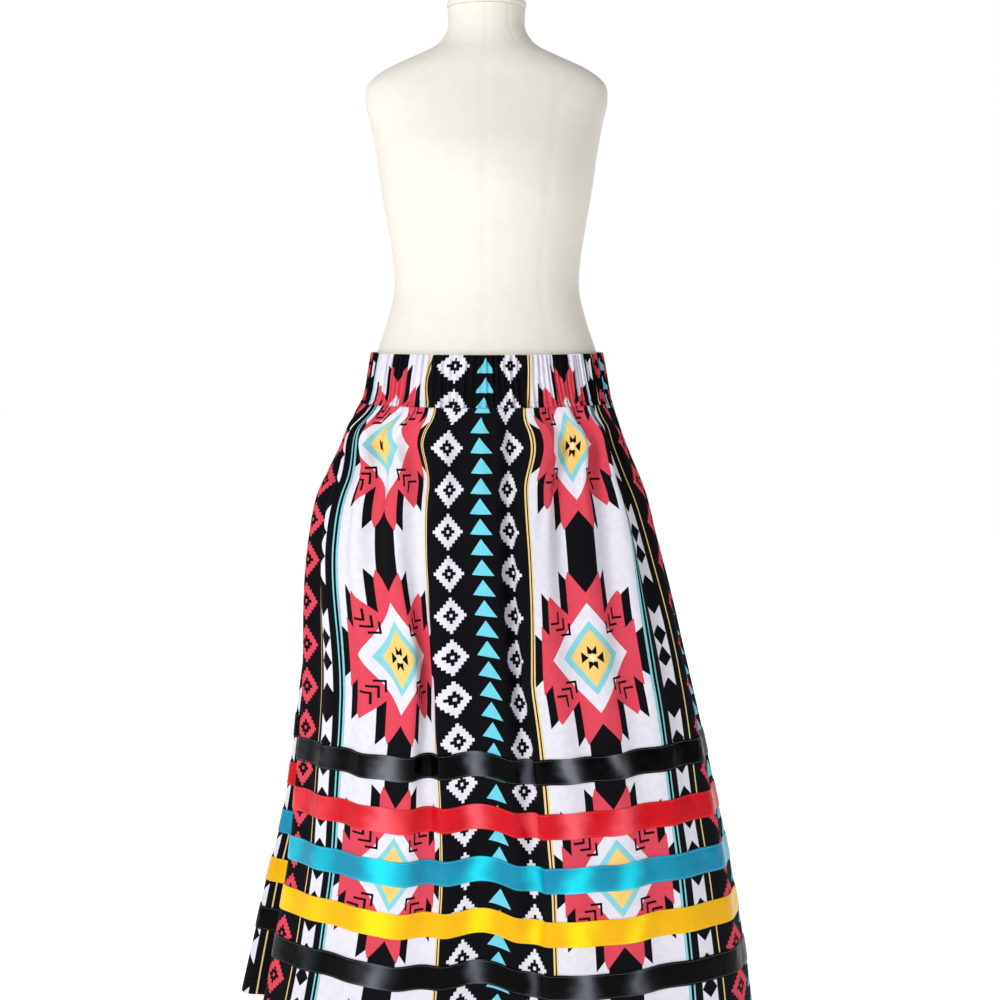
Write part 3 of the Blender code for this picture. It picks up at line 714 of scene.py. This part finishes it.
def satinFinish(name, shade, lit, gloss, narrow):
    made, tree, shader = finishOf(name, shade, 0.34)
    cloth = clothPlaces(tree)
    across = axesOf(tree, cloth)[0]
    streak = noiseOf(tree, stretchedBy(tree, cloth, (14.0, 420.0, 1.0)), 1.0, 3.0)
    wander = placeGroup(tree, rumpleGroup, Cloth=cloth, Across=18.0, Along=26.0)
    paintedBrightness = paintedSatinSheen(tree, across, Field(tree, wander.outputs["Height"]))
    # painted highlight and shade: the base colour runs from the shaded tone to the lit tone along the painted
    # sheen
    colour = mixOf(tree, shade, lit, paintedBrightness.maths("POWER", narrow))
    rumple = placeGroup(tree, rumpleGroup, Cloth=cloth, Across=46.0, Along=30.0)
    soft = bumpOf(tree, rumple.outputs["Height"], 0.0030)
    feedAll(tree, shader, {
        "Base Color": shaded(tree, colour, streak * 0.10 + 0.95), "Roughness": streak * 0.08 + 0.20,
        "Specular IOR Level": gloss, "Normal": bumpOf(tree, streak, 0.000012, Normal=soft),
    })
    return made


ribbonSurfaces = []
for number, (name, shade, lit, gloss, narrow, slot) in enumerate(ribbons["colours"]):
    top = int(np.argmin(np.abs(heights - bands[number][0])))
    rows = slice(top, top + ribbons["rows"])
    satin = satinFinish(slot + f"_{number + 1}", shade, lit, gloss, narrow)
    share = np.linspace(-1.0, 1.0, ribbons["rows"])[:, None]
    turn = 2 * math.pi * places[None, :] / skirt["length"]
    pucker = 0.00025 * np.sin(150 * turn + 4 * np.sin(11 * turn + number) + 2.0 * share) * (0.3 + share**2)
    crown = ribbons["crown"] * (1 - share**4) + pucker * (np.abs(share) < 0.99)
    outside = ribbons["gap"] + ribbons["wall"] + crown
    ribbonSurfaces.append((name, (cloth[rows] + outside[..., None] * normals[rows], normals[rows])))
    for side, span in spans.items():
        outer = sewnGrid(rows, span, outside)
        inner = sewnGrid(rows, span, np.full_like(outside, ribbons["gap"]))
        mesh = clothWall(f"{name}_{side}_satin", outer, inner, spanPlaces(side), printPlace(heights[rows]))
        piece = linkPiece(f"{name}_{side}_satin", mesh, (satin, satin), slot, f"{name}_{side}")
print("ribbons")

# stitches
thread = {
    "pitch": 0.0032, "share": 0.62, "radius": 0.00030, "inside": 0.0022, "hemUp": 0.020,
    "rings": (  # along, radius, lift
        (-0.50, 0.0, -0.9), (-0.36, 0.8, 0.1), (0.0, 1.0, 0.45), (0.36, 0.8, 0.1), (0.50, 0.0, -0.9),
    ),
}


def stitchTemplate():
    # a four-sided bead from tip to tip: along, sideways and lift of its points, and its triangles
    turns = np.arange(4) * math.pi / 2
    points = [(thread["rings"][0][0], 0.0, thread["rings"][0][2])]
    for along, radius, lift in thread["rings"][1:-1]:
        points += [(along, radius * math.sin(turn), lift + radius * math.cos(turn)) for turn in turns]
    points.append((thread["rings"][-1][0], 0.0, thread["rings"][-1][2]))
    faces = []
    for n in range(4):
        m = (n + 1) % 4
        faces += [(0, 1 + m, 1 + n), (13, 9 + n, 9 + m)]
        for first in (1, 5):
            faces += [(first + n, first + m, first + 4 + m), (first + n, first + 4 + m, first + 4 + n)]
    return np.array(points), np.array(faces)


def valuesAt(distances, walked, values):  # rows of values read at distances along a path
    return np.stack([np.interp(distances, walked, column) for column in values.T], axis=1)


def stitches(name, rows, finish):  # one mesh of stitches, end to end along closed rows of (points, outward)
    template, faces = stitchTemplate()
    lengthwise, sideways, lift = (template[None, :, axis:axis + 1] for axis in range(3))
    half = 0.5 * thread["share"] * thread["pitch"]
    allPoints = []
    for path, outward in rows:
        path, outward = np.concatenate((path, path[:1])), np.concatenate((outward, outward[:1]))
        walked = np.concatenate(([0.0], np.cumsum(np.linalg.norm(np.diff(path, axis=0), axis=1))))
        count = int(walked[-1] / thread["pitch"])
        middles = (np.arange(count) + 0.5) * walked[-1] / count
        first, middle, last = (valuesAt(middles + shift, walked, path) for shift in (-half, 0.0, half))
        out = unit(valuesAt(middles, walked, outward))
        along = last - first
        side = unit(np.cross(out, along))
        points = middle[:, None] + along[:, None] * lengthwise
        points = points + thread["radius"] * (side[:, None] * sideways + out[:, None] * lift)
        allPoints.append(points.reshape(-1, 3))
    points = np.concatenate(allPoints)
    starts = len(template) * np.arange(len(points) // len(template))
    every = (faces[None] + starts[:, None, None]).reshape(-1, 3)
    mesh = bpy.data.meshes.new(name)
    mesh.from_pydata(points.tolist(), [], every.tolist())
    mesh.shade_smooth()
    return linkPiece(name, mesh, (finish,), None)


def threadFinish(name, colour):
    made, tree, shader = finishOf(name, colour, 0.55)
    fibre = noiseOf(tree, objectPlaces(tree), 900.0, 2.0)
    feedAll(tree, shader, {
        "Base Color": shaded(tree, colour, fibre * 0.5 + 0.75), "Normal": bumpOf(tree, fibre, 0.00006),
    })
    return made


for number, (name, (points, outward)) in enumerate(ribbonSurfaces):
    share = thread["inside"] / (ribbons["width"] / (ribbons["rows"] - 1))
    lines = []
    for edge, inside in ((0, 1), (-1, -2)):
        lines.append((points[edge] * (1 - share) + points[inside] * share, outward[edge]))
    stitches(name + "_stitches", lines, threadFinish(f"thread_{number + 1}", ribbons["threads"][number]))
blackThread = threadFinish("thread_hem", (0.012, 0.012, 0.014))
row = int(np.argmin(np.abs(heights - skirt["hem"] - thread["hemUp"])))
stitches("hem_stitches", [(cloth[row], normals[row])], blackThread)
row = int(np.argmin(np.abs(casingHeights - skirt["casingBottom"] - casing["stitchAt"])))
stitches("casing_stitches", [(casingCloth[row], level[row])], blackThread)
print("stitches")

# dress form
form = {
    "segments": 144, "rows": 150, "neckRows": 26, "neckFrom": 1.500,
    "seamDeep": 0.0011, "seamHalf": 0.0022, "radius": 0.15,
    "seams": (0.0, 0.62, -0.62, 1.5708, -1.5708, 2.45, -2.45, 3.14159),
    "rowsOf": (  # z, halfWidth, frontDepth, backDepth
        (0.806, 0.160, 0.112, 0.118), (0.812, 0.170, 0.120, 0.127), (0.840, 0.182, 0.130, 0.143),
        (0.920, 0.189, 0.136, 0.150), (0.998, 0.184, 0.133, 0.142), (1.075, 0.169, 0.121, 0.122),
        (1.120, 0.154, 0.113, 0.108), (1.170, 0.142, 0.108, 0.100), (1.220, 0.144, 0.114, 0.101),
        (1.270, 0.152, 0.128, 0.105), (1.325, 0.161, 0.146, 0.110), (1.375, 0.168, 0.140, 0.113),
        (1.420, 0.176, 0.120, 0.111), (1.455, 0.183, 0.103, 0.104), (1.480, 0.178, 0.091, 0.095),
        (1.500, 0.152, 0.083, 0.086), (1.518, 0.112, 0.074, 0.077), (1.534, 0.078, 0.065, 0.067),
        (1.552, 0.062, 0.059, 0.060), (1.590, 0.058, 0.056, 0.056),
    ),
}


def closedLoft(name, rings):  # rings from the top down, closed round, with a centre point as cap at both ends
    rows, columns = rings.shape[:2]
    index = np.arange(rows * columns).reshape(rows, columns)
    index = np.concatenate((index, index[:, :1]), axis=1)
    faces = quadsOf(index, False).tolist()
    topCentre, bottomCentre = rows * columns, rows * columns + 1
    top, bottom = index[0].tolist(), index[-1].tolist()
    faces += [[a, b, topCentre] for a, b in zip(top, top[1:])]
    faces += [[b, a, bottomCentre] for a, b in zip(bottom, bottom[1:])]
    points = np.concatenate((rings.reshape(-1, 3), rings[0].mean(0)[None], rings[-1].mean(0)[None]))
    mesh = bpy.data.meshes.new(name)
    mesh.from_pydata(points.tolist(), [], faces)
    mesh.shade_smooth()
    mesh.set_sharp_from_angle(angle=math.radians(50.0))
    return mesh


def formRings():
    # each ring is two half ellipses that share a half width, drawn in a little along every seam
    foot, low, neck, top = form["rowsOf"][0][0], form["rowsOf"][1][0], form["neckFrom"], form["rowsOf"][-1][0]
    torso = np.linspace(neck, low, form["rows"])
    z = np.concatenate((np.linspace(top, neck, form["neckRows"]), torso[1:], (foot,)))
    sizes = np.stack([rowsAt(form["rowsOf"], value) for value in z])
    turns = np.arange(form["segments"]) * 2 * math.pi / form["segments"]
    halfWidth, frontDepth, backDepth = sizes[:, 0:1], sizes[:, 1:2], sizes[:, 2:3]
    depth = np.where(np.cos(turns) > 0.0, frontDepth, backDepth)
    x, y = halfWidth * np.sin(turns), -depth * np.cos(turns)
    return np.stack((x, y, np.broadcast_to(z[:, None], x.shape)), axis=-1), z, turns


def linenFinish():
    made, tree, shader = finishOf("formCotton", (0.80, 0.755, 0.66), 0.86)
    places = objectPlaces(tree)
    x, y, z = ((axis * 4200.0).maths("SINE") for axis in axesOf(tree, places))
    shade = noiseOf(tree, places, 55.0, 4.0) * 0.10 + 0.95
    feedAll(tree, shader, {
        "Base Color": shaded(tree, (0.76, 0.725, 0.655), shade), "Specular IOR Level": 0.25,
        "Normal": bumpOf(tree, (x * y).most(z), 0.00008),
    })
    return made


linen = linenFinish()
rings, ringHeights, ringTurns = formRings()
inward = unit(rings * (1.0, 1.0, 0.0)) * -1.0
fromSeams = (ringTurns[None, :] - np.array(form["seams"])[:, None] + math.pi) % (2 * math.pi) - math.pi
near = np.min(np.abs(fromSeams), axis=0)
groove = form["seamDeep"] * np.exp(-((near * form["radius"] / form["seamHalf"]) ** 2))
mesh = closedLoft("formCover", rings + inward * groove[None, :, None])
linkPiece("formCover", mesh, (linen,), "form_cotton", "form_torso")
print("dress form")


# turned wood and steel
def lathe(name, profile, segments):  # a profile of (radius, height) from the top down, turned round the pole
    profile = np.array(profile)
    turns = np.arange(segments) * 2 * math.pi / segments
    x = profile[:, 0:1] * np.sin(turns)
    y = -profile[:, 0:1] * np.cos(turns)
    rings = np.stack((x, y, np.broadcast_to(profile[:, 1:2], x.shape)), axis=-1)
    return closedLoft(name, rings)


def rounded(profile, radius, steps=5):  # corners of a profile replaced by short quadratic curves
    out = [profile[0]]
    for before, here, after in zip(profile[:-2], profile[1:-1], profile[2:]):
        before, here, after = map(np.array, (before, here, after))
        into, away = before - here, after - here
        reach = min(radius, 0.45 * np.linalg.norm(into), 0.45 * np.linalg.norm(away))
        first, last = here + unit(into) * reach, here + unit(away) * reach
        t = np.linspace(0.0, 1.0, steps)[:, None]
        out.extend(((1 - t) ** 2 * first + 2 * t * (1 - t) * here + t**2 * last).tolist())
    return out + [profile[-1]]


def woodFinish():
    made, tree, shader = finishOf("turnedWood", (0.17, 0.08, 0.035), 0.42)
    along = stretchedBy(tree, objectPlaces(tree), (18.0, 160.0, 60.0))
    grain = noiseOf(tree, along, 1.0, 6.0, Distortion=0.6)
    feedAll(tree, shader, {
        "Base Color": mixOf(tree, (0.105, 0.046, 0.020), (0.270, 0.135, 0.060), grain),
        "Roughness": grain * 0.2 + 0.32, "Normal": bumpOf(tree, grain, 0.0002),
        "Coat Weight": 0.25, "Coat Roughness": 0.2,
    })
    return made


def steelFinish():
    made, tree, shader = finishOf("blackSteel", (0.020, 0.020, 0.021), 0.42)
    speck = noiseOf(tree, objectPlaces(tree), 260.0, 3.0)
    feedAll(tree, shader, {
        "Base Color": shaded(tree, (0.024, 0.024, 0.026), speck * 0.5 + 0.75),
        "Roughness": speck * 0.18 + 0.34, "Normal": bumpOf(tree, speck, 0.00012),
    })
    return made


wood, steel = woodFinish(), steelFinish()
stand = {
    "gap": 0.0003, "boardThick": 0.012, "pole": 0.0125, "base": 0.175, "rimHigh": 0.010, "hub": 0.034,
    "hubHigh": 0.040, "cap": 0.060, "capHigh": 0.012, "knob": 0.016, "knobHigh": 0.034,
    "axis": 0.0004,  # radius where a profile ends beside the pole's axis
}
capFoot = form["rowsOf"][-1][0] + stand["gap"]
poleTop = form["rowsOf"][0][0] - stand["boardThick"] - 2 * stand["gap"]
poleFoot = stand["hubHigh"] + stand["gap"]
capProfile = [
    (stand["axis"], capFoot + stand["knobHigh"]),
    (stand["knob"] * 0.55, capFoot + stand["knobHigh"] * 0.97),
    (stand["knob"], capFoot + stand["knobHigh"] * 0.72),
    (stand["knob"] * 0.52, capFoot + stand["capHigh"] * 1.15),
    (stand["cap"] * 0.93, capFoot + stand["capHigh"]),
    (stand["cap"], capFoot + stand["capHigh"] * 0.6),
    (stand["cap"], capFoot),
    (stand["axis"], capFoot),
]
baseProfile = [
    (stand["axis"], stand["hubHigh"]), (stand["hub"] * 0.8, stand["hubHigh"]),
    (stand["hub"], stand["hubHigh"] - 0.006), (stand["hub"] * 1.25, stand["rimHigh"] * 1.8),
    (stand["base"] * 0.96, stand["rimHigh"]), (stand["base"], stand["rimHigh"] * 0.6),
    (stand["base"], 0.0), (stand["axis"], 0.0),
]
poleProfile = [
    (stand["axis"], poleTop), (stand["pole"], poleTop), (stand["pole"], poleFoot), (stand["axis"], poleFoot),
]
mesh = lathe("neckCap", rounded(capProfile, 0.006, 7), 96)
centres = np.zeros(3 * len(mesh.polygons))
mesh.polygons.foreach_get("center", centres)
ofWood = centres[2::3] > capFoot + stand["capHigh"]  # the disc is covered like the torso, the knob is wood
mesh.polygons.foreach_set("material_index", ofWood.astype(np.int32))
linkPiece("neckCap", mesh, (linen, wood), "form_cotton", "form_neck_cap")
mesh = lathe("baseDisc", rounded(baseProfile, 0.004, 5), 144)
linkPiece("baseDisc", mesh, (steel,), "black_steel", "stand_base")
linkPiece("pole", lathe("pole", poleProfile, 64), (steel,), "black_steel", "stand_pole")
for name, finish in (("stand_collar", steel), ("form_underside_board", wood)):
    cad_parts[name].data.materials.clear()
    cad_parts[name].data.materials.append(finish)
print("stand")

# floor and light
studio = {"floor": 14.0, "glow": 0.74, "world": 0.32, "shown": 1.0, "key": 76.0, "fill": 11.0, "back": 30.0}
half = studio["floor"]
floorMesh = bpy.data.meshes.new("floor")
corners = [(-half, -half, 0.0), (half, -half, 0.0), (half, half, 0.0), (-half, half, 0.0)]
floorMesh.from_pydata(corners, [], [(0, 1, 2, 3)])
floorFinish, floorTree, floorShader = finishOf("paleFloor", (0.80, 0.80, 0.81), 0.9)
feedAll(floorTree, floorShader, {
    "Specular IOR Level": 0.1, "Emission Color": (1.0, 1.0, 1.0), "Emission Strength": studio["glow"],
})
floorMesh.materials.append(floorFinish)
floor = bpy.data.objects.new("floor", floorMesh)
bpy.context.scene.collection.objects.link(floor)

world = bpy.data.worlds.new("paleWorld")
world.use_nodes = True
worldTree = world.node_tree
seen = worldTree.nodes.new("ShaderNodeMix")  # lights the skirt softly, and shows white behind it
cameraRay = worldTree.nodes.new("ShaderNodeLightPath").outputs["Is Camera Ray"]
feedAll(worldTree, seen, {"Factor": cameraRay, "A": studio["world"], "B": studio["shown"]})
background = worldTree.nodes["Background"]
feedAll(worldTree, background, {"Color": (1.0, 1.0, 1.0), "Strength": seen.outputs["Result"]})
bpy.context.scene.world = world


def softLight(name, place, target, size, power):
    data = bpy.data.lights.new(name, "AREA")
    data.shape = "RECTANGLE"
    data.size, data.size_y = size
    data.energy = power
    light = bpy.data.objects.new(name, data)
    light.location = place
    aim = np.array(target) - np.array(place)
    tilt = math.atan2(math.hypot(aim[0], aim[1]), -aim[2])
    light.rotation_euler = (tilt, 0.0, math.atan2(aim[1], aim[0]) - math.pi / 2)
    bpy.context.scene.collection.objects.link(light)


softLight("keyLight", (-1.9, -2.6, 2.3), (0.0, 0.0, 0.7), (1.0, 1.6), studio["key"])
softLight("fillLight", (2.6, -1.8, 1.6), (0.0, 0.0, 0.7), (1.2, 1.6), studio["fill"])
softLight("backLight", (0.8, 3.0, 2.2), (0.0, 0.0, 0.8), (1.6, 1.2), studio["back"])
print("floor and light")
